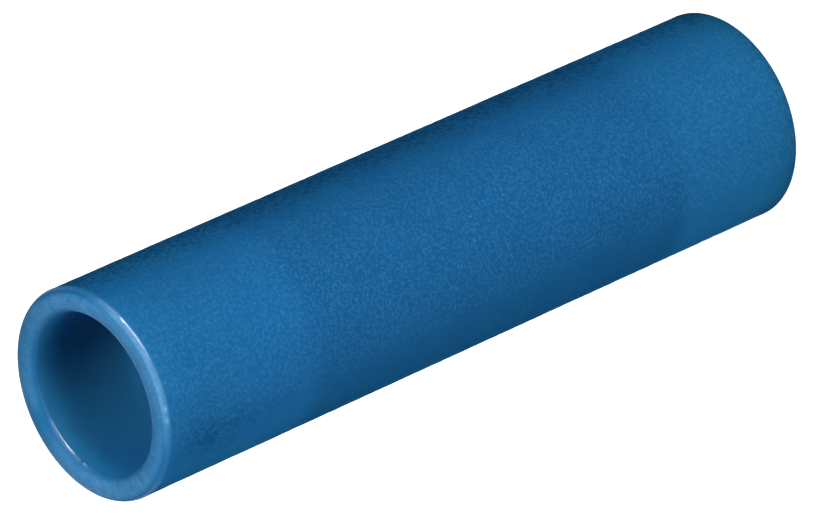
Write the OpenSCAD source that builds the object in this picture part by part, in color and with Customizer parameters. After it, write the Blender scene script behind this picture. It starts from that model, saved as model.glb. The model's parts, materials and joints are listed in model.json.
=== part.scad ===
// Insulated butt splice connector: a plastic sleeve over a metal crimp barrel.
// It stands on one end. The axis is +Z and the lower rim lies at Z = 0.
// Each stripped wire goes in at one mouth and stops at the bead in the middle of the barrel.

/* [Sleeve] */
// Overall length of the sleeve
sleeve_len = 25; // [20:0.5:40]
// Bore at each mouth, which takes the wire with its insulation
mouth_d = 4.9; // [4.5:0.1:6.5]
// Wall of the sleeve at each mouth
mouth_wall = 0.75; // [0.6:0.05:1.2]
// Length of each cone that leads from a mouth bore to the seat of the barrel
funnel_len = 1.2; // [0.6:0.1:2]
// Radius of the outer edge at the upper end
upper_rim_round = 0.3; // [0.05:0.05:0.4]
// Radius of the outer edge at the lower end, which is nearly square
lower_rim_round = 0.1; // [0.05:0.05:0.4]
// Radius of the inner edge at each mouth
lip_round = 0.25; // [0.05:0.05:0.3]

/* [Barrel] */
// Length of the crimp barrel
barrel_len = 14.5; // [10:0.5:17]
// Bore of the barrel, which takes the bare conductor
conductor_d = 2.3; // [1.7:0.1:2.8]
// Wall of the barrel
barrel_wall = 0.8; // [0.5:0.05:1]
// Chamfer that leads the strands into each end of the barrel
lead_chamfer = 0.3; // [0.1:0.05:0.4]
// Broken outer edge at each end of the barrel
edge_chamfer = 0.1; // [0.05:0.05:0.2]

/* [Wire stop] */
// Radius of the groove that is rolled round the middle of the barrel
groove_r = 0.6; // [0.4:0.05:1]
// Height of the bead that the groove raises inside the conductor bore
stop_rise = 0.45; // [0.2:0.05:0.7]

/* [Fit] */
// Gap between the barrel and its seat, on the radius
seat_clearance = 0.02; // [0.01:0.01:0.1]
// How far the seat runs on past each end of a centred barrel
seat_margin = 0.65; // [0.2:0.05:1]
// How far the barrel sits below the middle of the sleeve
barrel_drop = 0.65; // [0:0.05:1]

/* [Hidden] */

$fn = 96;

mouth_r = mouth_d / 2;
sleeve_r = mouth_r + mouth_wall;

// The edge radii share the wall of the mouth and leave a flat land between them.
edge_share = 0.45;
upper_rim_r = min(upper_rim_round, edge_share * mouth_wall);
lower_rim_r = min(lower_rim_round, edge_share * mouth_wall);
lip_r = min(lip_round, edge_share * mouth_wall);

conductor_r = conductor_d / 2;
barrel_r = conductor_r + barrel_wall;
seat_r = barrel_r + seat_clearance;

// Heights of the seat and of the two cones that lead to it
seat_len = barrel_len + 2 * seat_margin;
seat_z = (sleeve_len - seat_len) / 2;
funnel_z = seat_z - funnel_len;

barrel_z = (sleeve_len - barrel_len) / 2 - barrel_drop;

// Distance of the groove's centre from the axis: the wall keeps its thickness round the groove.
groove_x = conductor_r - stop_rise + barrel_wall + groove_r;

// Draws its children as they stand at the lower end of a section, mirrored to its upper end
module at_upper_end() {
    translate([0, sleeve_len]) mirror([0, 1]) children();
}

// Corner of the sleeve's section that the rounding of an outer rim takes away
module rim_corner(rim_r) {
    difference() {
        translate([sleeve_r - rim_r, 0]) square(rim_r);
        translate([sleeve_r - rim_r, rim_r]) circle(rim_r);
    }
}

// Corner of the sleeve's section that the rounding of the inner lip takes away
module lip_corner() {
    difference() {
        translate([mouth_r, 0]) square(lip_r);
        translate([mouth_r + lip_r, lip_r]) circle(lip_r);
    }
}

// Half section of the sleeve: straight outside, inside a bore that narrows to the seat
module sleeve_section() {
    difference() {
        polygon([
            [mouth_r, 0],
            [sleeve_r, 0],
            [sleeve_r, sleeve_len],
            [mouth_r, sleeve_len],
            [mouth_r, sleeve_len - funnel_z],
            [seat_r, sleeve_len - seat_z],
            [seat_r, seat_z],
            [mouth_r, funnel_z]
        ]);
        rim_corner(lower_rim_r);
        lip_corner();
        at_upper_end() rim_corner(upper_rim_r);
        at_upper_end() lip_corner();
    }
}

// Half section of the barrel before the groove is rolled
module plain_barrel_section() {
    polygon([
        [conductor_r + lead_chamfer, 0],
        [barrel_r - edge_chamfer, 0],
        [barrel_r, edge_chamfer],
        [barrel_r, barrel_len - edge_chamfer],
        [barrel_r - edge_chamfer, barrel_len],
        [conductor_r + lead_chamfer, barrel_len],
        [conductor_r, barrel_len - lead_chamfer],
        [conductor_r, lead_chamfer]
    ]);
}

// Disc round the groove's centre, at the middle of the barrel's section
module groove_disc(radius) {
    translate([groove_x, barrel_len / 2]) circle(radius);
}

// Half section of the barrel, with the groove outside and the bead that it raises inside
module barrel_section() {
    difference() {
        union() {
            plain_barrel_section();
            intersection() {
                groove_disc(groove_r + barrel_wall);
                square([barrel_r, barrel_len]);
            }
        }
        groove_disc(groove_r);
    }
}

module insulating_sleeve() {
    color([0.10, 0.38, 0.62]) rotate_extrude() sleeve_section();
}

module crimp_barrel() {
    color([0.78, 0.77, 0.74]) translate([0, 0, barrel_z]) rotate_extrude() barrel_section();
}

insulating_sleeve();
crimp_barrel();
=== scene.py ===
"""Looks of an insulated butt splice connector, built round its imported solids.

The connector stands on its lower rim with its axis along +Z. A grained blue sleeve with a frosted
upper rim goes over a tinned crimp barrel. Lengths are in metres unless a name says otherwise.
"""

import json
import logging
import math
from abc import ABC, abstractmethod
from dataclasses import dataclass, field
from enum import Enum

import bpy
import numpy as np
from mathutils import Matrix, Vector


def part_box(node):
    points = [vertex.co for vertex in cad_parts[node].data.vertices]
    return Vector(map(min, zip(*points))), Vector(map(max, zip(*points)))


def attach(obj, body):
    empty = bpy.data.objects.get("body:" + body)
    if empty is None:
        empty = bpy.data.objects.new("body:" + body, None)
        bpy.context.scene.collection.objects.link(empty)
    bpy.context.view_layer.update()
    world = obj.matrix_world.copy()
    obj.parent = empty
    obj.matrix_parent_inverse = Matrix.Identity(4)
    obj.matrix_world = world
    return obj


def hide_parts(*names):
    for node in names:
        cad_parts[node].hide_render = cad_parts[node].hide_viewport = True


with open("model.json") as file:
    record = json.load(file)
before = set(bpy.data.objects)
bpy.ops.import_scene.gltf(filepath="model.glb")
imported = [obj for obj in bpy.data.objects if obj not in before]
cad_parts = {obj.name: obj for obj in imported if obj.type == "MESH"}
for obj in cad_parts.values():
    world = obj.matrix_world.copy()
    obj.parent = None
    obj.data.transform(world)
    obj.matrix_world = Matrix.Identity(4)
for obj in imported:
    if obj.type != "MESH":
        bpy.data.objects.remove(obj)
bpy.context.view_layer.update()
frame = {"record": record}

MM = 0.001
QUARTER_TURN, HALF_TURN, FULL_TURN = 90.0, 180.0, 360.0
WHITE = (1.0, 1.0, 1.0, 1.0)
LOG = logging.getLogger("butt_splice")

Socket = bpy.types.NodeSocket
Colour = tuple[float, float, float]
Factors = tuple[float, float, float]  # on X, Y and Z
Pair = tuple[float, float]  # such as a radius and a height
Span = tuple[float, float]  # first and last value of a range
Ramp = tuple[float, float, float, float]  # low and high of what goes in, and what they become


class Zone(Enum):
    """Stretches of a revolved profile, numbered as the material slots that dress them."""

    WALL = 0
    RIM = 1
    BORE = 2


class Step(Enum):
    """Steps of arithmetic between two values, by the nodes' own names."""

    ADD = "ADD"
    MULTIPLY = "MULTIPLY"
    MAXIMUM = "MAXIMUM"


class Mixing(Enum):
    """Ways to mix two colours, by the nodes' own names."""

    MIX = "MIX"
    MULTIPLY = "MULTIPLY"


def mount_radius(name: str) -> float:
    """Radius of one of the part's round mounts.

    Args:
        name: the mount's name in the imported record.

    Returns:
        The radius in metres.
    """
    mounts = {m["name"]: m for m in frame["record"]["mounts"]}
    return mounts[name]["dims"]["r_mm"] * MM


def linear(srgb: Colour) -> tuple[float, float, float, float]:
    """Turns a screen colour into the linear colour that a shader socket takes.

    It undoes the sRGB curve, which is straight near black and a power of 2.4 above.

    Args:
        srgb: red, green and blue from 0 to 255, as seen on a screen.

    Returns:
        Linear red, green, blue, and an alpha of 1.
    """
    c = np.asarray(srgb, float) / 255.0
    low, high = c / 12.92, ((c + 0.055) / 1.055) ** 2.4
    return (*np.where(c <= 0.04045, low, high).tolist(), 1.0)


def smooth_step(low: float, high: float, x: np.ndarray) -> np.ndarray:
    """Rises from 0 at low to 1 at high along the cubic 3t^2 - 2t^3.

    Args:
        low: where the rise begins.
        high: where the rise ends; below low it becomes a fall.
        x: the values to map.

    Returns:
        The mapped values, from 0 to 1.
    """
    t = np.clip((x - low) / (high - low), 0.0, 1.0)
    return t * t * (3.0 - 2.0 * t)


def bell(x: np.ndarray, middle: float, spread: float) -> np.ndarray:
    """Bell curve exp(-((x - middle) / spread)^2).

    Args:
        x: the values to map.
        middle: where the bell is highest.
        spread: how far from its middle it has fallen to 1 / e.

    Returns:
        The mapped values, from 0 to 1.
    """
    return np.exp(-(((x - middle) / spread) ** 2))


def stretch_round(bearing: np.ndarray, span: Span, soft: float) -> np.ndarray:
    """Picks out one stretch of a circle: 1 inside it, falling to 0 over soft ends.

    Args:
        bearing: angles round the circle in degrees.
        span: first and last angle of the stretch in degrees.
        soft: half the length of each soft end in degrees.

    Returns:
        The share at each angle, from 0 to 1.
    """
    middle, half = (span[0] + span[1]) / 2.0, (span[1] - span[0]) / 2.0
    away = np.abs((bearing - middle + HALF_TURN) % FULL_TURN - HALF_TURN)
    return smooth_step(half + soft, half - soft, away)


def band_noise(rng: np.random.Generator, shape: tuple[int, int], pitch: Pair,
               period: float, spread: float) -> np.ndarray:
    """Seamless noise whose waves lie near one period.

    White noise is taken to its frequencies, multiplied by a bell round the wanted frequency,
    exp(-((f * period - 1) / spread)^2), taken back and scaled to a deviation of 1.

    Args:
        rng: the source of the white noise.
        shape: rows and columns of the grid.
        pitch: distance between rows and between columns.
        period: wavelength of the middle of the band.
        spread: relative width of the band.

    Returns:
        An array of that shape that repeats at its edges.
    """
    rows = np.fft.fftfreq(shape[0], pitch[0])[:, None]
    columns = np.fft.rfftfreq(shape[1], pitch[1])[None, :]
    band = bell(np.hypot(rows, columns) * period, 1.0, spread)
    noise = np.fft.irfft2(np.fft.rfft2(rng.standard_normal(shape)) * band, s=shape)
    return noise / noise.std()


class ShaderTree:
    """A node material with one Principled shader, and short ways to add the nodes before it.

    The mix node repeats its sockets' titles for each kind of data, so the ones for colours go by
    number.
    """

    MIX_FACTOR, MIX_FIRST, MIX_SECOND, MIX_RESULT = 0, 6, 7, 2

    def __init__(self, name: str) -> None:
        """Makes a material with its shader, its output and the piece's own coordinates.

        Args:
            name: the material's name.
        """
        self.material = bpy.data.materials.new(name)
        self.material.use_nodes = True
        self.nodes = self.material.node_tree.nodes
        self.links = self.material.node_tree.links
        self.nodes.clear()
        self.shader = self.nodes.new("ShaderNodeBsdfPrincipled")
        output = self.nodes.new("ShaderNodeOutputMaterial")
        self.links.new(self.shader.outputs["BSDF"], output.inputs["Surface"])
        self.place = self.nodes.new("ShaderNodeTexCoord").outputs["Object"]

    def feed(self, socket: Socket, value: "Socket | float | tuple") -> None:
        """Links a socket to another one, or sets it to a plain value.

        Args:
            socket: the socket that takes the value.
            value: another node's output, or a number or colour.
        """
        if isinstance(value, bpy.types.NodeSocket):
            self.links.new(value, socket)
        else:
            socket.default_value = value

    def vary(self, title: str, value: Socket) -> None:
        """Links the shader's socket of that title to a value that varies over the surface."""
        self.links.new(value, self.shader.inputs[title])

    def fixed(self, **values: "float | tuple") -> None:
        """Sets the shader's own sockets to values that hold all over the surface.

        Args:
            values: the sockets' names, in lower case with underscores, and their values.
        """
        words = {"ior": "IOR"}
        for name, value in values.items():
            title = " ".join(words.get(w, w.capitalize()) for w in name.split("_"))
            self.shader.inputs[title].default_value = value

    def attribute(self, name: str) -> Socket:
        """Reads one of the mesh's own attributes.

        Args:
            name: the attribute's name.

        Returns:
            Its value.
        """
        node = self.nodes.new("ShaderNodeAttribute")
        node.attribute_name = name
        return node.outputs["Fac"]

    def noise(self, size: float, detail: float, rough: float = 0.5,
              stretch: Factors = (1.0, 1.0, 1.0)) -> Socket:
        """Cloudy noise on the piece's own coordinates.

        Args:
            size: size of the largest clouds.
            detail: number of finer octaves.
            rough: share of each finer octave.
            stretch: factors on X, Y and Z; a small factor draws the clouds out that way.

        Returns:
            The noise, about 0.5 on average.
        """
        mapping = self.nodes.new("ShaderNodeMapping")
        mapping.inputs["Scale"].default_value = stretch
        self.links.new(self.place, mapping.inputs["Vector"])
        node = self.nodes.new("ShaderNodeTexNoise")
        self.links.new(mapping.outputs["Vector"], node.inputs["Vector"])
        node.inputs["Scale"].default_value = 1.0 / size
        node.inputs["Detail"].default_value = detail
        node.inputs["Roughness"].default_value = rough
        return node.outputs[0]

    def pebbles(self, size: float) -> Socket:
        """Scattered points on the piece's own coordinates.

        Args:
            size: spacing of the points.

        Returns:
            Distance to the nearest point, in shares of the spacing.
        """
        node = self.nodes.new("ShaderNodeTexVoronoi")
        self.links.new(self.place, node.inputs["Vector"])
        node.inputs["Scale"].default_value = 1.0 / size
        return node.outputs["Distance"]

    def facing(self) -> Socket:
        """0 where the surface is seen square on, rising to 1 where it is seen edge on."""
        return self.nodes.new("ShaderNodeLayerWeight").outputs["Facing"]

    def remap(self, value: Socket, ramp: Ramp) -> Socket:
        """Maps a value along a straight line, clamped at both ends.

        Args:
            value: what goes in.
            ramp: its low and its high, and what they become.

        Returns:
            The mapped value.
        """
        node = self.nodes.new("ShaderNodeMapRange")
        self.links.new(value, node.inputs["Value"])
        for name, number in zip(("From Min", "From Max", "To Min", "To Max"), ramp):
            node.inputs[name].default_value = number
        return node.outputs["Result"]

    def maths(self, step: Step, a: "Socket | float", b: "Socket | float") -> Socket:
        """One step of arithmetic between two values.

        Args:
            step: what is done with them.
            a: the first value.
            b: the second value.

        Returns:
            The result.
        """
        node = self.nodes.new("ShaderNodeMath")
        node.operation = step.value
        self.feed(node.inputs[0], a)
        self.feed(node.inputs[1], b)
        return node.outputs[0]

    def blend(self, factor: "Socket | float", a: "Socket | tuple", b: "Socket | tuple",
              mixing: Mixing = Mixing.MIX) -> Socket:
        """Mixes two colours.

        Args:
            factor: 0 gives the first colour and 1 the second.
            a: the first colour.
            b: the second colour.
            mixing: how they mix.

        Returns:
            The mixed colour.
        """
        node = self.nodes.new("ShaderNodeMix")
        node.data_type = "RGBA"
        node.blend_type = mixing.value
        self.feed(node.inputs[self.MIX_FACTOR], factor)
        self.feed(node.inputs[self.MIX_FIRST], a)
        self.feed(node.inputs[self.MIX_SECOND], b)
        return node.outputs[self.MIX_RESULT]

    def bump(self, height: Socket, depth: float) -> Socket:
        """Turns a height from 0 to 1 into a normal.

        Args:
            height: the height.
            depth: how deep a height of 1 is.

        Returns:
            The normal.
        """
        node = self.nodes.new("ShaderNodeBump")
        node.inputs["Distance"].default_value = depth
        self.links.new(height, node.inputs["Height"])
        return node.outputs["Normal"]


@dataclass(frozen=True)
class BluePlastic(ABC):
    """Translucent blue plastic, the body under the finish of every zone of the sleeve.

    Roughness and gloss hold where a finish doesn't vary them. Scatter is the share of the light
    that goes through the plastic.
    """

    name: str
    roughness: float
    gloss: float
    scatter: float
    deep: Colour = (24, 88, 138)
    pale: Colour = (29, 103, 159)
    refraction: float = 1.5
    scatter_length: float = 9.0 * MM
    scatter_share: Colour = (0.48, 0.65, 1.0)
    cloud_size: float = 1.6 * MM
    cloud_ramp: Ramp = (0.3, 0.7, -0.12, 0.12)

    @abstractmethod
    def material(self) -> bpy.types.Material:
        """The finished plastic."""

    def body(self) -> ShaderTree:
        """Makes the shader that all zones share.

        Returns:
            The tree, with the scattering set and no colour yet.
        """
        tree = ShaderTree(self.name)
        tree.fixed(roughness=self.roughness, ior=self.refraction, specular_ior_level=self.gloss,
                   subsurface_weight=self.scatter, subsurface_radius=self.scatter_share,
                   subsurface_scale=self.scatter_length)
        return tree

    def tint(self, tree: ShaderTree) -> Socket:
        """Body colour: clouds between the two blues, painted paler where light would come through
        the wall, which is painted light.

        Args:
            tree: the tree to add it to.

        Returns:
            The colour.
        """
        clouds = tree.remap(tree.noise(self.cloud_size, detail=3.0), self.cloud_ramp)
        # Painted light: the blue goes paler where the painted through-light attribute is high.
        light = tree.maths(Step.ADD, clouds, tree.attribute("painted_through_light"))
        return tree.blend(light, linear(self.deep), linear(self.pale))


@dataclass(frozen=True)
class GrainedWall(BluePlastic):
    """Outside of the sleeve: a fine moulded grain whose crests catch a little light, and painted
    shade.

    The grain is pebbles plus finer noise. It paints shade into the colour a little, darker in its
    hollows and lighter on its crests;
    its crests and a few sparks are glossy unless seen edge on, and it is the height of the bump.
    """

    name: str = "blue_grained_wall"
    roughness: float = 0.52
    gloss: float = 0.06
    scatter: float = 0.45
    gleam: Colour = (0.28, 0.8, 1.0)
    pebble_size: float = 0.1 * MM
    pebble_ramp: Ramp = (0.25, 0.85, 0.5, 0.0)
    fine_size: float = 0.07 * MM
    fine_ramp: Ramp = (0.0, 1.0, 0.0, 0.5)
    shade_ramp: Ramp = (0.2, 0.8, 0.93, 1.07)
    crest_ramp: Ramp = (0.5, 0.85, 0.0, 0.41)
    spark_size: float = 0.1 * MM
    spark_ramp: Ramp = (0.74, 0.82, 0.0, 0.8)
    edge_on_ramp: Ramp = (0.2, 0.45, 1.0, 0.0)
    grain_bump: float = 0.02 * MM
    spot_size: float = 0.13 * MM
    patch_speck_ramp: Ramp = (0.38, 0.64, 0.28, 1.0)
    patch_darkening: Ramp = (0.0, 1.0, 1.0, 0.6)
    streak_speck_ramp: Ramp = (0.43, 0.63, 0.1, 1.0)
    streak_darkening: Ramp = (0.0, 1.0, 1.0, 0.58)

    def grain(self, tree: ShaderTree) -> Socket:
        """Height of the grain, from 0 to 1.

        Args:
            tree: the tree to add it to.

        Returns:
            The height.
        """
        pebbles = tree.remap(tree.pebbles(self.pebble_size), self.pebble_ramp)
        fine = tree.remap(tree.noise(self.fine_size, detail=1.0), self.fine_ramp)
        return tree.maths(Step.ADD, pebbles, fine)

    def shade(self, tree: ShaderTree, grain: Socket) -> Socket:
        """Factor on the colour, all painted shade: darker in the grain's hollows, lighter on its
        crests, and darker in specks over the painted shade patches and streak.

        Args:
            tree: the tree to add it to.
            grain: height of the grain.

        Returns:
            The factor.
        """
        # Painted shade: darker in the grain's hollows and lighter on its crests.
        shade = tree.remap(grain, self.shade_ramp)
        spots = tree.noise(self.spot_size, detail=1.0)
        # Painted shade: speckled darkening over the painted shade patches and the streak.
        for name, ramp, darkening in (("painted_shade_patches", self.patch_speck_ramp, self.patch_darkening),
                                      ("painted_shade_streak", self.streak_speck_ramp, self.streak_darkening)):
            painted_shade = tree.maths(Step.MULTIPLY, tree.remap(spots, ramp), tree.attribute(name))
            shade = tree.maths(Step.MULTIPLY, shade, tree.remap(painted_shade, darkening))
        return shade

    def material(self) -> bpy.types.Material:
        """Makes the finish.

        Returns:
            The material.
        """
        tree = self.body()
        tree.fixed(specular_tint=(*self.gleam, 1.0))
        grain = self.grain(tree)
        shade = self.shade(tree, grain)
        tree.vary("Base Color", tree.blend(1.0, self.tint(tree), shade, Mixing.MULTIPLY))
        sparks = tree.remap(tree.noise(self.spark_size, detail=0.0), self.spark_ramp)
        crests = tree.maths(Step.ADD, tree.remap(grain, self.crest_ramp), sparks)
        square_on = tree.remap(tree.facing(), self.edge_on_ramp)
        tree.vary("Specular IOR Level", tree.maths(Step.MULTIPLY, crests, square_on))
        tree.vary("Normal", tree.bump(grain, self.grain_bump))
        return tree.material


@dataclass(frozen=True)
class FrostedRim(BluePlastic):
    """Cut end of the sleeve: whitish and mottled on its crest, with painted light and shade in the
    white and a painted highlight on its outer edge, burnished along its edges.
    """

    name: str = "blue_frosted_rim"
    roughness: float = 0.5
    gloss: float = 0.08
    scatter: float = 0.3
    frost_and_painted_light: Colour = (80, 145, 205)
    chalk_and_highlight: Colour = (138, 186, 220)
    mottle_size: float = 0.3 * MM
    mottle_ramp: Ramp = (0.3, 0.7, 0.5, 1.0)
    speck_size: float = 0.07 * MM
    speck_ramp: Ramp = (0.35, 0.65, 0.65, 1.0)
    fleck_size: float = 0.05 * MM
    fleck_ramp: Ramp = (0.4, 0.62, 0.35, 1.0)
    burnished_gloss: Ramp = (0.0, 1.0, 0.02, 1.0)
    burnished_roughness: Ramp = (0.0, 1.0, 0.5, 0.1)
    cut_size: float = 0.2 * MM
    cut_bump: float = 0.004 * MM

    def material(self) -> bpy.types.Material:
        """Makes the finish: frost and chalk, which also carry painted light, shade and a painted
        highlight, over the body colour, then the burnish.

        Returns:
            The material.
        """
        tree = self.body()
        mottles = tree.remap(tree.noise(self.mottle_size, detail=3.0, rough=0.6), self.mottle_ramp)
        specks = tree.remap(tree.noise(self.speck_size, detail=1.0), self.speck_ramp)
        frost_and_painted_light = tree.maths(Step.MULTIPLY, tree.maths(Step.MULTIPLY, mottles, specks),
                           tree.attribute("frost_and_painted_light"))
        flecks = tree.remap(tree.noise(self.fleck_size, detail=1.0), self.fleck_ramp)
        chalk_and_highlight = tree.maths(Step.MULTIPLY, flecks, tree.attribute("chalk_and_highlight"))
        frosted = tree.blend(frost_and_painted_light, self.tint(tree), linear(self.frost_and_painted_light))
        tree.vary("Base Color", tree.blend(chalk_and_highlight, frosted, linear(self.chalk_and_highlight)))
        burnish = tree.attribute("burnish")
        tree.vary("Specular IOR Level", tree.remap(burnish, self.burnished_gloss))
        tree.vary("Roughness", tree.remap(burnish, self.burnished_roughness))
        tree.vary("Normal", tree.bump(tree.noise(self.cut_size, detail=4.0), self.cut_bump))
        return tree.material


@dataclass(frozen=True)
class SmoothBore(BluePlastic):
    """Inside of the sleeve: smooth from the core pin, with faint lines along it."""

    name: str = "blue_smooth_bore"
    roughness: float = 0.4
    gloss: float = 0.15
    scatter: float = 0.85
    line_size: float = 0.3 * MM
    line_stretch: Factors = (1.0, 1.0, 0.08)
    line_bump: float = 0.006 * MM

    def material(self) -> bpy.types.Material:
        """Makes the finish.

        Returns:
            The material.
        """
        tree = self.body()
        tree.vary("Base Color", self.tint(tree))
        lines = tree.noise(self.line_size, detail=2.0, stretch=self.line_stretch)
        tree.vary("Normal", tree.bump(lines, self.line_bump))
        return tree.material


@dataclass(frozen=True)
class TinnedCopper:
    """Satin tin plating over a drawn copper tube, with draw lines along it and dull clouds."""

    name: str = "tin_plated_barrel"
    tin: Colour = (205, 203, 198)
    dull: Colour = (168, 165, 160)
    cloud_size: float = 0.9 * MM
    cloud_ramp: Ramp = (0.35, 0.7, 0.0, 1.0)
    clouded_roughness: Ramp = (0.0, 1.0, 0.28, 0.45)
    line_size: float = 0.12 * MM
    line_stretch: Factors = (1.0, 1.0, 0.03)
    line_bump: float = 0.006 * MM

    def material(self) -> bpy.types.Material:
        """Makes the finish.

        Returns:
            The material.
        """
        tree = ShaderTree(self.name)
        tree.fixed(metallic=1.0)
        clouds = tree.remap(tree.noise(self.cloud_size, detail=4.0), self.cloud_ramp)
        tree.vary("Base Color", tree.blend(clouds, linear(self.tin), linear(self.dull)))
        tree.vary("Roughness", tree.remap(clouds, self.clouded_roughness))
        lines = tree.noise(self.line_size, detail=3.0, stretch=self.line_stretch)
        tree.vary("Normal", tree.bump(lines, self.line_bump))
        return tree.material


@dataclass
class Profile:
    """Closed outline of a revolved solid, walked with the solid on its left.

    Each ring has a radius, a height and the zone of the strip that follows it.
    """

    rings: list[np.ndarray] = field(default_factory=list)
    zones: list[np.ndarray] = field(default_factory=list)

    def add(self, points: np.ndarray, zone: Zone) -> None:
        """Appends rings, each a radius and a height, that belong to one zone."""
        self.rings.append(points)
        self.zones.append(np.full(len(points), zone.value))

    def line(self, start: Pair, end: Pair, count: int, zone: Zone = Zone.WALL) -> None:
        """A straight stretch, p = start + t (end - start), without its last point.

        Args:
            start: radius and height of the first ring.
            end: radius and height where the next stretch begins.
            count: number of rings.
            zone: the zone they belong to.
        """
        t = np.linspace(0.0, 1.0, count, endpoint=False)[:, None]
        self.add(np.asarray(start) + t * (np.asarray(end) - np.asarray(start)), zone)

    def arc(self, centre: Pair, radius: float, angles: Span, count: int,
            zone: Zone = Zone.WALL) -> None:
        """A round stretch, p = centre + radius (cos a, sin a), without its last point.

        Args:
            centre: radius and height of the arc's centre.
            radius: radius of the arc.
            angles: first and last angle in degrees, from the outward direction towards +Z.
            count: number of rings.
            zone: the zone they belong to.
        """
        a = np.radians(np.linspace(*angles, count, endpoint=False))
        self.add(np.asarray(centre) + radius * np.column_stack((np.cos(a), np.sin(a))), zone)

    def arrays(self) -> tuple[np.ndarray, np.ndarray, np.ndarray]:
        """Radius, height and zone of every ring."""
        points = np.concatenate(self.rings)
        return points[:, 0], points[:, 1], np.concatenate(self.zones)


def all_round(ring: np.ndarray, columns: int) -> np.ndarray:
    """Repeats one value for each ring over all the columns round the axis."""
    return np.repeat(ring[:, None], columns, axis=1)


def revolve(name: str, radius: np.ndarray, height: np.ndarray, zones: np.ndarray,
            attributes: dict[str, np.ndarray]) -> bpy.types.Object:
    """Closed surface of revolution with its own radius and height at every grid point.

    A point in row i and column j lies at (r cos a, r sin a, h) with a = 2 pi j / columns. Rows
    and columns both close on themselves.

    Args:
        name: name of the piece.
        radius: radius at each point, rows along the profile and columns round the axis.
        height: height at each point.
        zones: the material slot of the strip after each row.
        attributes: values at each point, by name, for the materials to read.

    Returns:
        The new object, at the origin.
    """
    rows, columns = radius.shape
    angle = 2.0 * np.pi * np.arange(columns) / columns
    points = np.stack((radius * np.cos(angle), radius * np.sin(angle), height), axis=-1)
    here = np.arange(rows * columns).reshape(rows, columns)
    aside, above = np.roll(here, -1, axis=1), np.roll(here, -1, axis=0)
    across = np.roll(aside, -1, axis=0)
    quads = np.stack((here, aside, across, above), axis=-1).reshape(-1, 4)
    mesh = bpy.data.meshes.new(name)
    mesh.vertices.add(rows * columns)
    mesh.vertices.foreach_set("co", points.astype(np.float32).ravel())
    mesh.loops.add(quads.size)
    mesh.loops.foreach_set("vertex_index", quads.astype(np.int32).ravel())
    mesh.polygons.add(len(quads))
    mesh.polygons.foreach_set("loop_start", np.arange(0, quads.size, 4, dtype=np.int32))
    mesh.polygons.foreach_set("material_index", np.repeat(zones, columns).astype(np.int32))
    mesh.polygons.foreach_set("use_smooth", np.ones(len(quads), bool))
    for title, values in attributes.items():
        layer = mesh.attributes.new(title, "FLOAT", "POINT")
        layer.data.foreach_set("value", values.astype(np.float32).ravel())
    mesh.update(calc_edges=True)
    mesh.validate()
    piece = bpy.data.objects.new(name, mesh)
    bpy.context.scene.collection.objects.link(piece)
    return piece


@dataclass(frozen=True)
class Burr:
    """A small burr on the lip of the mouth, a bell round its bearing that stands into the bore."""

    bearing_deg: float
    width_deg: float
    height: float


@dataclass(frozen=True)
class Speck:
    """A small bright nick on the outer edge of the rim, a bell round its bearing."""

    bearing_deg: float
    width_deg: float
    strength: float


@dataclass(frozen=True)
class ShadePatch:
    """A patch of painted shade on the wall, a bell round its bearing and its drop below the upper
    rim.
    """

    bearing_deg: float
    width_deg: float
    drop: float
    length: float
    strength: float


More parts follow.
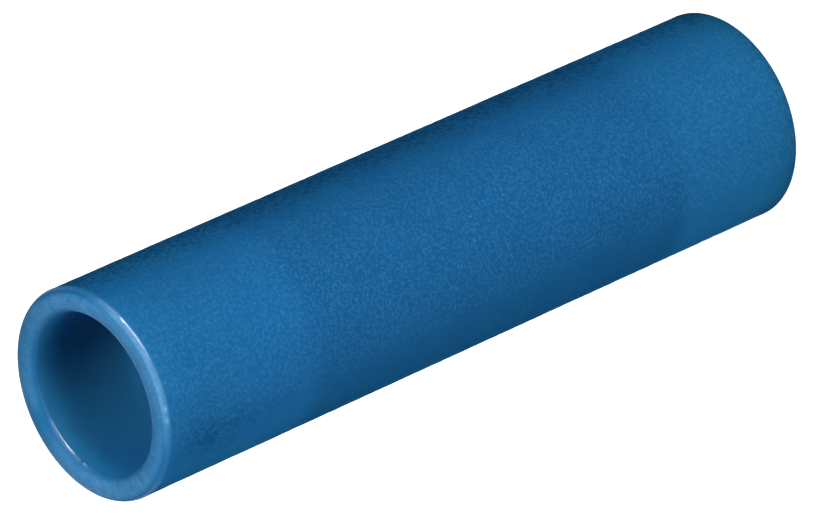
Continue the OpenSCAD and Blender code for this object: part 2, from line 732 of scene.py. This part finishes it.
@dataclass(frozen=True)
class RimWearAndPaintedLight:
    """Frost, burnish and chalky marks of the upper rim, with the painted light, shade and highlight
    that the frost and chalk carry, as values from 0 to 1.

    A place on the rim has a lean, the angle by which its surface faces up; a share across the
    wall, from 0 outside to 1 at the bore; and a bearing round the axis. Angles are in degrees.
    """

    halfway: float = 0.5
    frost_rise: Span = (48.0, 74.0)
    lip_rise: Span = (22.0, 52.0)
    lip_fade: Span = (0.98, 0.7)
    frost_at_lip: float = 0.5
    frost_calm: float = 0.62
    painted_light_stretches: tuple[Span, ...] = ((-148.0, -80.0), (45.0, 105.0))
    painted_light_soft: float = 20.0
    painted_shade_stretch: Span = (174.0, 194.0)
    painted_shade_soft: float = 14.0
    painted_shade_loss: float = 0.55
    edge_highlight_span: Span = (-34.0, 44.0)
    edge_highlight_lean: float = 42.0
    edge_highlight_spread: float = 20.0
    edge_highlight_chalk: float = 0.26
    burnish_lean: float = 25.5
    burnish_spread: float = 8.0
    burnish_soft: float = 6.0
    burnish_calm: float = 0.1
    outer_rub: Span = (8.0, 46.0)
    lip_rub: Span = (-174.0, -132.0)
    lip_gleam: Span = (6.0, 44.0)
    lip_gleam_lean: float = 55.0
    lip_gleam_level: float = 0.35
    specks: tuple[Speck, ...] = (Speck(bearing_deg=-22.0, width_deg=1.3, strength=1.0),
                                 Speck(bearing_deg=-28.0, width_deg=1.3, strength=0.9))
    speck_lean: float = 30.0
    speck_spread: float = 7.0
    scuff_count: int = 9
    scuff_bearing: float = -72.0
    scuff_scatter: float = 12.0
    scuff_width: float = 0.7
    scuff_reach: float = 0.18
    scuff_middle: Span = (0.25, 0.75)
    scuff_strength: Span = (0.12, 0.4)

    def outer(self, across: np.ndarray) -> np.ndarray:
        """Tells the outer half of the rim from the half beside the bore."""
        return across < self.halfway

    def painted_edge_highlight(self, lean: np.ndarray, across: np.ndarray, bearing: np.ndarray) -> np.ndarray:
        """Painted highlight: a whitish band round one lean, along the stretch of the outer edge
        that faces the lamps.

        Args:
            lean: lean of each ring.
            across: share across the wall of each ring.
            bearing: bearing of each column.

        Returns:
            The wear at each grid point.
        """
        # Painted highlight: a whitish band on the outer edge, on the side that faces the lamps.
        edge = bell(lean, self.edge_highlight_lean, self.edge_highlight_spread) * self.outer(across)
        return edge * stretch_round(bearing, self.edge_highlight_span, self.painted_light_soft)

    def frost_and_painted_light(self, lean: np.ndarray, across: np.ndarray, bearing: np.ndarray) -> np.ndarray:
        """Frost, with painted light and shade: it rises with the lean, fades to the lip, spills
        over the painted highlight of the outer edge, and is painted whiter over two stretches of
        bearing and barer over one.

        Args:
            lean: lean of each ring.
            across: share across the wall of each ring.
            bearing: bearing of each column.

        Returns:
            The frost at each grid point.
        """
        rise = np.where(self.outer(across), smooth_step(*self.frost_rise, lean),
                        smooth_step(*self.lip_rise, lean))
        inward = self.frost_at_lip + (1.0 - self.frost_at_lip) * smooth_step(*self.lip_fade, across)
        # Painted light and shade: the frost is whiter over two stretches of bearing and barer over
        # one.
        painted_light_share = sum(stretch_round(bearing, span, self.painted_light_soft) for span in self.painted_light_stretches)
        painted_shade_share = self.painted_shade_loss * stretch_round(bearing, self.painted_shade_stretch, self.painted_shade_soft)
        crest = rise * inward * (self.frost_calm + (1.0 - self.frost_calm) * painted_light_share - painted_shade_share)
        return np.maximum(crest, self.painted_edge_highlight(lean, across, bearing))

    def burnish(self, lean: np.ndarray, across: np.ndarray, bearing: np.ndarray) -> np.ndarray:
        """Burnish: a bell round one lean, on one stretch of the outer edge and two of the lip.

        Args:
            lean: lean of each ring.
            across: share across the wall of each ring.
            bearing: bearing of each column.

        Returns:
            The burnish at each grid point.
        """
        outside = self.outer(across)
        rubbed = np.where(outside, stretch_round(bearing, self.outer_rub, self.burnish_soft),
                          stretch_round(bearing, self.lip_rub, self.burnish_soft))
        line = bell(lean, self.burnish_lean, self.burnish_spread)
        line = line * (self.burnish_calm + (1.0 - self.burnish_calm) * rubbed)
        gleam = bell(lean, self.lip_gleam_lean, self.burnish_spread) * ~outside
        gleam = gleam * stretch_round(bearing, self.lip_gleam, self.burnish_soft)
        return np.maximum(line, self.lip_gleam_level * gleam)

    def chalk_and_highlight(self, lean: np.ndarray, across: np.ndarray, bearing: np.ndarray,
              rng: np.random.Generator) -> np.ndarray:
        """Chalky marks: the painted highlight of the outer edge with its specks, and radial scuffs
        beside a bearing.

        Args:
            lean: lean of each ring.
            across: share across the wall of each ring.
            bearing: bearing of each column.
            rng: the source of the scuffs' places.

        Returns:
            The marks at each grid point.
        """
        # The chalky marks also carry the painted highlight of the outer edge.
        marks = self.edge_highlight_chalk * self.painted_edge_highlight(lean, across, bearing)
        edge = bell(lean, self.speck_lean, self.speck_spread) * self.outer(across)
        for speck in self.specks:
            marks += speck.strength * edge * bell(bearing, speck.bearing_deg, speck.width_deg)
        for _ in range(self.scuff_count):
            place = self.scuff_bearing + self.scuff_scatter * rng.standard_normal()
            middle = rng.uniform(*self.scuff_middle)
            scuff = bell(bearing, place, self.scuff_width) * bell(across, middle, self.scuff_reach)
            marks += rng.uniform(*self.scuff_strength) * scuff
        return np.clip(marks, 0.0, 1.0)


@dataclass
class InsulatingSleeve:
    """The moulded plastic sleeve with its grained wall, domed upper rim and stepped bore.

    The finishes stand in the order of the zones.
    """

    finishes: tuple[BluePlastic, ...] = (GrainedWall(), FrostedRim(), SmoothBore())
    rim_wear_and_light: RimWearAndPaintedLight = RimWearAndPaintedLight()
    columns: int = 280
    wall_rings: int = 220
    mouth_radius: float = field(default_factory=lambda: mount_radius("upper_wire_entry"))
    seat_gap: float = 0.02 * MM
    seat_margin: float = 0.65 * MM
    funnel_length: float = 1.2 * MM
    rim_depth: float = 1.0 * MM
    crest_inset: float = 0.37 * MM
    outer_flank_deg: float = 30.0
    outer_corner: float = 0.24 * MM
    inner_flank_deg: float = 65.0
    inner_corner: float = 0.06 * MM
    facet: float = 0.04 * MM
    burrs: tuple[Burr, ...] = (Burr(bearing_deg=-138.0, width_deg=1.7, height=0.06 * MM),
                               Burr(bearing_deg=-87.0, width_deg=1.6, height=0.05 * MM))
    burr_reach: float = 0.2 * MM
    burr_drop: float = 0.2 * MM
    burr_spread: float = 0.1 * MM
    foot_round: float = 0.04 * MM
    foot_lip: float = 0.25 * MM
    through_light_rise: Span = (-0.5 * MM, 0.7 * MM)
    through_light_mean: float = 0.5
    through_light_calm: float = 0.5
    painted_lit_side: Span = (-125.0, -40.0)
    painted_lit_side_soft: float = 25.0
    painted_shade_patches: tuple[ShadePatch, ...] = (
        ShadePatch(bearing_deg=-48.0, width_deg=13.0, drop=1.9 * MM, length=1.6 * MM, strength=0.95),
        ShadePatch(bearing_deg=-47.0, width_deg=10.0, drop=4.0 * MM, length=1.5 * MM, strength=0.35),
    )
    shade_streak_span: Span = (54.0, 100.0)
    shade_streak_soft: float = 16.0
    grain_period: float = 0.42 * MM
    grain_spread: float = 0.45
    grain_depth: float = 0.0045 * MM
    grain_fade: float = 0.4 * MM
    swell_period: float = 2.2 * MM
    swell_spread: float = 0.5
    swell_share: float = 0.4
    seed: int = 7

    def __post_init__(self) -> None:
        """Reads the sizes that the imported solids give."""
        low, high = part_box("insulating_sleeve")
        barrel_low, barrel_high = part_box("crimp_barrel")
        self.radius = min(-low.x, -low.y, high.x, high.y)
        self.length = high.z
        self.seat_radius = (barrel_high.x - barrel_low.x) / 2.0 + self.seat_gap
        self.barrel_span = (barrel_low.z, barrel_high.z)
        seat_length = barrel_high.z - barrel_low.z + 2.0 * self.seat_margin
        self.seat_low = (self.length - seat_length) / 2.0
        self.seat_high = self.length - self.seat_low

    def upper_rim(self, profile: Profile) -> Span:
        """Adds the domed upper rim, from the top of the wall to the top of the bore.

        The dome is two arcs that meet level at the crest. Each flank ends in a tight corner, where
        it turns into the straight wall outside or the straight bore inside. The outer corner has a
        narrow flat at the lean that is burnished, and the inner one starts with a narrow flat.

        Args:
            profile: the profile to add it to.

        Returns:
            Heights at which the outer wall ends and the bore begins.
        """
        top, crest = self.length, self.radius - self.crest_inset
        outer, inner = math.radians(self.outer_flank_deg), math.radians(self.inner_flank_deg)
        outer_end = QUARTER_TURN - self.outer_flank_deg
        inner_end = QUARTER_TURN + self.inner_flank_deg
        lean_deg = self.rim_wear_and_light.burnish_lean
        lean = math.radians(lean_deg)
        flat_r, flat_z = self.facet * math.sin(lean), self.facet * math.cos(lean)
        dip_r, dip_z = self.facet * math.cos(inner), self.facet * math.sin(inner)
        reach = self.radius - crest - flat_r - self.outer_corner * (1.0 - math.sin(outer))
        outer_dome = reach / math.sin(outer)
        reach = crest - self.mouth_radius - dip_r - self.inner_corner * (1.0 - math.sin(inner))
        inner_dome = reach / math.sin(inner)
        outer_z = (top - outer_dome * (1.0 - math.cos(outer)) - flat_z
                   - self.outer_corner * math.cos(outer))
        inner_z = (top - inner_dome * (1.0 - math.cos(inner)) - dip_z
                   - self.inner_corner * math.cos(inner))
        corner_r = self.radius - self.outer_corner
        flat = (corner_r + self.outer_corner * math.cos(lean),
                outer_z + self.outer_corner * math.sin(lean))
        dip = (crest - inner_dome * math.sin(inner), top - inner_dome * (1.0 - math.cos(inner)))
        profile.arc((corner_r, outer_z), self.outer_corner, (0.0, lean_deg),
                    count=7, zone=Zone.RIM)
        profile.line(flat, (flat[0] - flat_r, flat[1] + flat_z), count=2, zone=Zone.RIM)
        profile.arc((corner_r - flat_r, outer_z + flat_z), self.outer_corner, (lean_deg, outer_end),
                    count=8, zone=Zone.RIM)
        profile.arc((crest, top - outer_dome), outer_dome, (outer_end, QUARTER_TURN),
                    count=6, zone=Zone.RIM)
        profile.arc((crest, top - inner_dome), inner_dome, (QUARTER_TURN, inner_end),
                    count=15, zone=Zone.RIM)
        profile.line(dip, (dip[0] - dip_r, dip[1] - dip_z), count=2, zone=Zone.RIM)
        profile.arc((self.mouth_radius + self.inner_corner, inner_z), self.inner_corner,
                    (inner_end, HALF_TURN), count=4, zone=Zone.RIM)
        return outer_z, inner_z

    def profile(self) -> Profile:
        """Outline of the sleeve, from the foot of the wall up, over the rim and down the bore.

        Returns:
            The whole profile.
        """
        r, bore, foot, lip = self.radius, self.mouth_radius, self.foot_round, self.foot_lip
        seat, seat_low, seat_high = self.seat_radius, self.seat_low, self.seat_high
        funnel_low, funnel_high = seat_low - self.funnel_length, seat_high + self.funnel_length
        rim = Profile()
        wall_top, bore_top = self.upper_rim(rim)
        whole = Profile()
        whole.line((r, foot), (r, wall_top), count=self.wall_rings, zone=Zone.WALL)
        whole.rings += rim.rings
        whole.zones += rim.zones
        whole.line((bore, bore_top), (bore, funnel_high), count=22, zone=Zone.BORE)
        whole.line((bore, funnel_high), (seat, seat_high), count=8, zone=Zone.BORE)
        whole.line((seat, seat_high), (seat, seat_low), count=14, zone=Zone.BORE)
        whole.line((seat, seat_low), (bore, funnel_low), count=8, zone=Zone.BORE)
        whole.line((bore, funnel_low), (bore, lip), count=16, zone=Zone.BORE)
        whole.arc((bore + lip, lip), lip, (HALF_TURN, FULL_TURN - QUARTER_TURN),
                  count=8, zone=Zone.RIM)
        whole.line((bore + lip, 0.0), (r - foot, 0.0), count=4, zone=Zone.RIM)
        whole.arc((r - foot, foot), foot, (FULL_TURN - QUARTER_TURN, FULL_TURN),
                  count=6, zone=Zone.RIM)
        return whole

    def wear_and_light(self, radius: np.ndarray, height: np.ndarray, bearing: np.ndarray,
             rng: np.random.Generator) -> dict[str, np.ndarray]:
        """What the materials read of the rims' wear, and of the light, shade and highlight painted
        into it.

        The profile's normal leans up by the arc sine of -dr / ds. The lower rim has only frost.

        Args:
            radius: radius of each ring.
            height: height of each ring.
            bearing: bearing of each column in degrees.
            rng: the source of the scuffs' places.

        Returns:
            Values at each grid point, by the name of the attribute.
        """
        dr = np.roll(radius, -1) - np.roll(radius, 1)
        dz = np.roll(height, -1) - np.roll(height, 1)
        lean = np.degrees(np.arcsin(-dr / np.hypot(dr, dz)))[:, None]
        across = ((self.radius - radius) / (self.radius - self.mouth_radius))[:, None]
        upper = (height > self.length - self.rim_depth)[:, None]
        foot = smooth_step(*self.rim_wear_and_light.frost_rise, -lean) * np.ones_like(bearing)
        return {
            "frost_and_painted_light": np.where(upper, self.rim_wear_and_light.frost_and_painted_light(lean, across, bearing), foot),
            "burnish": self.rim_wear_and_light.burnish(lean, across, bearing) * upper,
            "chalk_and_highlight": self.rim_wear_and_light.chalk_and_highlight(lean, across, bearing, rng) * upper,
        }

    def painted_shade(self, height: np.ndarray, bearing: np.ndarray) -> dict[str, np.ndarray]:
        """Painted shade on the wall: speckled patches below the upper rim, and a streak along the
        wall over one stretch of bearings.

        Args:
            height: height of each ring.
            bearing: bearing of each column in degrees.

        Returns:
            Values at each grid point, from 0 to 1, by the name of the attribute.
        """
        drop = self.length - height[:, None]
        marks = np.zeros((len(height), bearing.shape[-1]))
        # Painted shade: speckled patches below the upper rim.
        for shade_patch in self.painted_shade_patches:
            across = bell(bearing, shade_patch.bearing_deg, shade_patch.width_deg)
            marks += shade_patch.strength * across * bell(drop, shade_patch.drop, shade_patch.length)
        # Painted shade: a speckled streak along the wall over the upper stretch of bearings.
        streak = stretch_round(bearing, self.shade_streak_span, self.shade_streak_soft)
        return {"painted_shade_patches": marks, "painted_shade_streak": np.repeat(streak, len(height), axis=0)}

    def painted_through_light(self, height: np.ndarray, bearing: np.ndarray) -> np.ndarray:
        """Painted light: how much paler the blue is painted where light would come through the
        wall.

        It is painted paler over each end of the barrel, where the sleeve turns hollow, and darker
        over the barrel. The difference is strongest on the side that faces the low lamp.

        Args:
            height: height of each ring.
            bearing: bearing of each column in degrees.

        Returns:
            The share at each grid point, from 0 to 1.
        """
        above, below = height[:, None] - self.barrel_span[1], self.barrel_span[0] - height[:, None]
        hollow = smooth_step(*self.through_light_rise, above) + smooth_step(*self.through_light_rise, below)
        # Painted light: the hollow-versus-barrel difference is strongest on the side that faces the
        # low lamp.
        lit_side = stretch_round(bearing, self.painted_lit_side, self.painted_lit_side_soft)
        contrast = self.through_light_calm + (1.0 - self.through_light_calm) * lit_side
        return self.through_light_mean + (hollow - self.through_light_mean) * contrast

    def burr_relief(self, radius: np.ndarray, height: np.ndarray,
                    bearing: np.ndarray) -> np.ndarray:
        """How far the burrs stand into the bore: bells in bearing and in height round the lip.

        Args:
            radius: radius of each ring.
            height: height of each ring.
            bearing: bearing of each column in degrees.

        Returns:
            The depth at each grid point.
        """
        inner = radius < self.mouth_radius + self.burr_reach
        band = np.where(inner, bell(height, self.length - self.burr_drop, self.burr_spread), 0.0)
        relief = np.zeros((len(radius), bearing.shape[-1]))
        for burr in self.burrs:
            relief += burr.height * band[:, None] * bell(bearing, burr.bearing_deg, burr.width_deg)
        return relief

    def grain_relief(self, height: np.ndarray, rng: np.random.Generator) -> np.ndarray:
        """How far the moulded grain lies below the full radius, as a negative height.

        A fine noise and a wide swell are each squashed by tanh and hung below their crests. They
        fade out to both ends of the wall.

        Args:
            height: height of each ring of the wall.
            rng: the source of the noise.

        Returns:
            The relief at each grid point of the wall.
        """
        shape = (self.wall_rings, self.columns)
        pitch = (self.length / self.wall_rings, 2.0 * np.pi * self.radius / self.columns)
        grain = band_noise(rng, shape, pitch, self.grain_period, self.grain_spread)
        swell = band_noise(rng, shape, pitch, self.swell_period, self.swell_spread)
        fade = smooth_step(0.0, self.grain_fade, np.minimum(height, self.length - height))
        relief = (np.tanh(grain) - 1.0) + self.swell_share * (np.tanh(swell) - 1.0)
        return self.grain_depth * fade[:, None] * relief

    def build(self) -> bpy.types.Object:
        """Makes the mesh: the profile turned round the axis, with grain in its wall and burrs.

        Bearings are counted from -Y, which is the side that faces the camera, towards +X.

        Returns:
            The piece.
        """
        ring_r, ring_z, zones = self.profile().arrays()
        angle = FULL_TURN * np.arange(self.columns) / self.columns
        bearing = ((angle + QUARTER_TURN + HALF_TURN) % FULL_TURN - HALF_TURN)[None, :]
        rng = np.random.default_rng(self.seed)
        radius, height = all_round(ring_r, self.columns), all_round(ring_z, self.columns)
        radius[:self.wall_rings] += self.grain_relief(ring_z[:self.wall_rings], rng)
        radius -= self.burr_relief(ring_r, ring_z, bearing)
        attributes = self.wear_and_light(ring_r, ring_z, bearing, rng)
        # Painted shade and painted light for the materials to read.
        attributes.update(self.painted_shade(ring_z, bearing))
        attributes["painted_through_light"] = self.painted_through_light(ring_z, bearing)
        return revolve("sleeve_grained_blue", radius, height, zones, attributes)

    def dress(self, piece: bpy.types.Object) -> None:
        """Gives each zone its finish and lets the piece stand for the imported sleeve.

        Args:
            piece: the mesh from build.
        """
        for finish in self.finishes:
            piece.data.materials.append(finish.material())
        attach(piece, "root")
        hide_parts("insulating_sleeve")


@dataclass
class CrimpBarrel:
    """The tinned tube inside the sleeve, with a groove rolled round its middle."""

    finish: TinnedCopper = TinnedCopper()
    columns: int = 128
    bore_radius: float = field(default_factory=lambda: mount_radius("upper_conductor_bore"))
    lead_chamfer: float = 0.3 * MM
    edge_round: float = 0.1 * MM
    groove_radius: float = 0.6 * MM
    stop_rise: float = 0.45 * MM

    def __post_init__(self) -> None:
        """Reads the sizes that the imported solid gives."""
        low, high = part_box("crimp_barrel")
        self.radius = (high.x - low.x) / 2.0
        self.low, self.high = low.z, high.z

    def profile(self) -> Profile:
        """Outline of the tube: the groove dents the outside and raises a bead inside.

        Groove and bead are arcs round one centre, a wall's thickness apart.

        Returns:
            The whole profile.
        """
        r, bore, edge, lead = self.radius, self.bore_radius, self.edge_round, self.lead_chamfer
        low, high, middle = self.low, self.high, (self.low + self.high) / 2.0
        groove, bead = self.groove_radius, self.groove_radius + r - bore
        centre = (bore - self.stop_rise + bead, middle)
        groove_half = math.acos((centre[0] - r) / groove)
        bead_half = math.acos((centre[0] - bore) / bead)
        groove_z, bead_z = groove * math.sin(groove_half), bead * math.sin(bead_half)
        groove_deg, bead_deg = math.degrees(groove_half), math.degrees(bead_half)
        tube = Profile()
        tube.line((r, low + edge), (r, middle - groove_z), count=8)
        tube.arc(centre, groove, (HALF_TURN + groove_deg, HALF_TURN - groove_deg), count=12)
        tube.line((r, middle + groove_z), (r, high - edge), count=8)
        tube.arc((r - edge, high - edge), edge, (0.0, QUARTER_TURN), count=6)
        tube.line((r - edge, high), (bore + lead, high), count=4)
        tube.line((bore + lead, high), (bore, high - lead), count=5)
        tube.line((bore, high - lead), (bore, middle + bead_z), count=8)
        tube.arc(centre, bead, (HALF_TURN - bead_deg, HALF_TURN + bead_deg), count=16)
        tube.line((bore, middle - bead_z), (bore, low + lead), count=8)
        tube.line((bore, low + lead), (bore + lead, low), count=5)
        tube.line((bore + lead, low), (r - edge, low), count=4)
        tube.arc((r - edge, low + edge), edge, (FULL_TURN - QUARTER_TURN, FULL_TURN), count=6)
        return tube

    def build(self) -> bpy.types.Object:
        """Makes the mesh of the tube.

        Returns:
            The piece.
        """
        ring_r, ring_z, zones = self.profile().arrays()
        radius, height = all_round(ring_r, self.columns), all_round(ring_z, self.columns)
        return revolve("barrel_tinned", radius, height, zones, {})

    def dress(self, piece: bpy.types.Object) -> None:
        """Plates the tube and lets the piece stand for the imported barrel.

        Args:
            piece: the mesh from build.
        """
        piece.data.materials.append(self.finish.material())
        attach(piece, "root")
        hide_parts("crimp_barrel")


def shown_rays(nodes: bpy.types.Nodes, links: bpy.types.NodeLinks) -> Socket:
    """Tells the rays that show a surface from those that it lights.

    Args:
        nodes: nodes of the material or world.
        links: links of the same tree.

    Returns:
        1 for a ray from the camera, off a glossy surface or through a clear one, and 0 otherwise.
    """
    path = nodes.new("ShaderNodeLightPath")
    total = path.outputs["Is Camera Ray"]
    for kind in ("Is Glossy Ray", "Is Transmission Ray"):
        either = nodes.new("ShaderNodeMath")
        either.operation = Step.MAXIMUM.value
        links.new(total, either.inputs[0])
        links.new(path.outputs[kind], either.inputs[1])
        total = either.outputs[0]
    return total


@dataclass(frozen=True)
class PhotoView:
    """The photograph's camera, given by where it shows the tube's upper rim and axis."""

    frame_px: tuple[int, int] = (815, 513)
    focal_px: float = 9280.0
    rim_centre_px: Pair = (88.1, 397.4)
    rim_depth: float = 259.6 * MM
    axis_tilt_deg: float = 52.78
    axis_turn_deg: float = 24.094
    sensor_width: float = 36.0
    clip: Span = (0.01, 50.0)

    def make(self, rim_centre: Vector) -> None:
        """Makes the camera and makes it the scene's own.

        The tube's axis, seen from the camera, leans axis_tilt_deg from the line of sight, and its
        picture lies axis_turn_deg from the picture's width.

        Args:
            rim_centre: centre of the upper rim.
        """
        tilt, turn = math.radians(self.axis_tilt_deg), math.radians(self.axis_turn_deg)
        up = Vector((-math.sin(tilt) * math.cos(turn), -math.sin(tilt) * math.sin(turn),
                     math.cos(tilt)))
        side = Vector((-math.sin(turn), math.cos(turn), 0.0))
        turned = Matrix((side, up.cross(side), up))
        seen = Vector(((self.rim_centre_px[0] - self.frame_px[0] / 2.0) / self.focal_px,
                       (self.frame_px[1] / 2.0 - self.rim_centre_px[1]) / self.focal_px, -1.0))
        data = bpy.data.cameras.new("photo_view")
        data.sensor_width = self.sensor_width
        data.lens = self.focal_px * self.sensor_width / self.frame_px[0]
        data.clip_start, data.clip_end = self.clip
        camera = bpy.data.objects.new("photo_view", data)
        bpy.context.scene.collection.objects.link(camera)
        place = rim_centre - turned @ (seen * self.rim_depth)
        camera.matrix_world = Matrix.Translation(place) @ turned.to_4x4()
        bpy.context.scene.camera = camera


@dataclass(frozen=True)
class Lamp(ABC):
    """A studio lamp that faces the connector.

    The azimuth is counted from the side that faces the camera, towards the picture's upper edge.
    The aim is a share of the connector's length.
    """

    name: str
    azimuth_deg: float
    elevation_deg: float
    watts: float
    distance: float = 0.35
    aim: float = 0.5

    @abstractmethod
    def light(self) -> bpy.types.Light:
        """The light itself, with its shape and no power yet."""

    def make(self, length: float) -> None:
        """Hangs the lamp and turns it to its aim.

        Args:
            length: length of the connector.
        """
        a, e = math.radians(self.azimuth_deg), math.radians(self.elevation_deg)
        towards = Vector((math.sin(a) * math.cos(e), -math.cos(a) * math.cos(e), math.sin(e)))
        data = self.light()
        data.energy = self.watts
        lamp = bpy.data.objects.new(self.name, data)
        lamp.location = Vector((0.0, 0.0, self.aim * length)) + towards * self.distance
        lamp.rotation_mode = "QUATERNION"
        lamp.rotation_quaternion = towards.to_track_quat("Z", "Y")
        lamp.visible_camera = False
        bpy.context.scene.collection.objects.link(lamp)


@dataclass(frozen=True)
class SoftLamp(Lamp):
    """A lamp with an oblong face."""

    width: float = 0.12
    height: float = 0.12

    def light(self) -> bpy.types.Light:
        """Makes the oblong light.

        Returns:
            The light.
        """
        data = bpy.data.lights.new(self.name, "AREA")
        data.shape, data.size, data.size_y = "RECTANGLE", self.width, self.height
        return data


@dataclass(frozen=True)
class SnootLamp(Lamp):
    """A lamp behind a snoot, whose beam is no wider than the stretch that it lights."""

    aim: float = 0.32
    source_radius: float = 0.003
    cone_deg: float = 4.0
    soft_edge: float = 0.5

    def light(self) -> bpy.types.Light:
        """Makes a soft-edged cone of light from a small round source.

        Returns:
            The light.
        """
        data = bpy.data.lights.new(self.name, "SPOT")
        data.spot_size, data.spot_blend = math.radians(self.cone_deg), self.soft_edge
        data.shadow_soft_size = self.source_radius
        return data


@dataclass
class Studio:
    """Pale floor, white surroundings, lamps and the photograph's camera."""

    view: PhotoView = PhotoView()
    lamps: tuple[Lamp, ...] = (
        SoftLamp("key_lamp", azimuth_deg=-7.0, elevation_deg=7.0, watts=1.08),
        SoftLamp("edge_lamp", azimuth_deg=33.0, elevation_deg=12.0, watts=0.28,
                 width=0.3, height=0.02),
        SoftLamp("top_lamp", azimuth_deg=50.0, elevation_deg=72.0, watts=0.72),
        SoftLamp("low_lamp", azimuth_deg=-122.0, elevation_deg=20.0, watts=0.38),
        SnootLamp("back_lamp_right", azimuth_deg=166.0, elevation_deg=10.0, watts=2.4),
        SnootLamp("back_lamp_left", azimuth_deg=-168.0, elevation_deg=10.0, watts=1.6),
    )
    floor_half: float = 3.0
    floor_colour: Colour = (0.9, 0.9, 0.9)
    floor_roughness: float = 0.9
    floor_glow: float = 0.75
    world_strength: float = 0.01

    def floor(self) -> None:
        """A wide pale floor at the foot of the connector, which also shows the lamps' shadows."""
        h = self.floor_half
        mesh = bpy.data.meshes.new("floor")
        corners = [(-h, -h, 0.0), (h, -h, 0.0), (h, h, 0.0), (-h, h, 0.0)]
        mesh.from_pydata(corners, [], [(0, 1, 2, 3)])
        floor = bpy.data.objects.new("floor", mesh)
        bpy.context.scene.collection.objects.link(floor)
        tree = ShaderTree("pale_floor")
        tree.fixed(base_color=(*self.floor_colour, 1.0), roughness=self.floor_roughness,
                   specular_ior_level=0.0, emission_color=WHITE)
        shown = shown_rays(tree.nodes, tree.links)
        tree.vary("Emission Strength", tree.maths(Step.MULTIPLY, shown, self.floor_glow))
        mesh.materials.append(tree.material)
        floor.visible_diffuse = False

    def surroundings(self) -> None:
        """A world that shows as white and lights at its own strength."""
        world = bpy.data.worlds.new("white_surroundings")
        bpy.context.scene.world = world
        world.use_nodes = True
        nodes, links = world.node_tree.nodes, world.node_tree.links
        background = nodes["Background"]
        level = nodes.new("ShaderNodeMapRange")
        links.new(shown_rays(nodes, links), level.inputs["Value"])
        level.inputs["To Min"].default_value = self.world_strength
        level.inputs["To Max"].default_value = 1.0
        links.new(level.outputs["Result"], background.inputs["Strength"])
        background.inputs["Color"].default_value = WHITE

    def make(self, length: float) -> None:
        """Sets up the stage round the connector.

        Args:
            length: length of the connector.
        """
        self.floor()
        self.surroundings()
        for lamp in self.lamps:
            lamp.make(length)
        self.view.make(Vector((0.0, 0.0, length)))
        bpy.context.scene.view_settings.view_transform = "Standard"


def main() -> None:
    """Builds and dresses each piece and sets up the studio."""
    logging.basicConfig(level=logging.INFO, format="%(name)s: %(message)s")
    sleeve = InsulatingSleeve()
    for part in (sleeve, CrimpBarrel()):
        piece = part.build()
        part.dress(piece)
        LOG.info("%s has %d faces", piece.name, len(piece.data.polygons))
    Studio().make(sleeve.length)


if __name__ == "__main__":
    main()
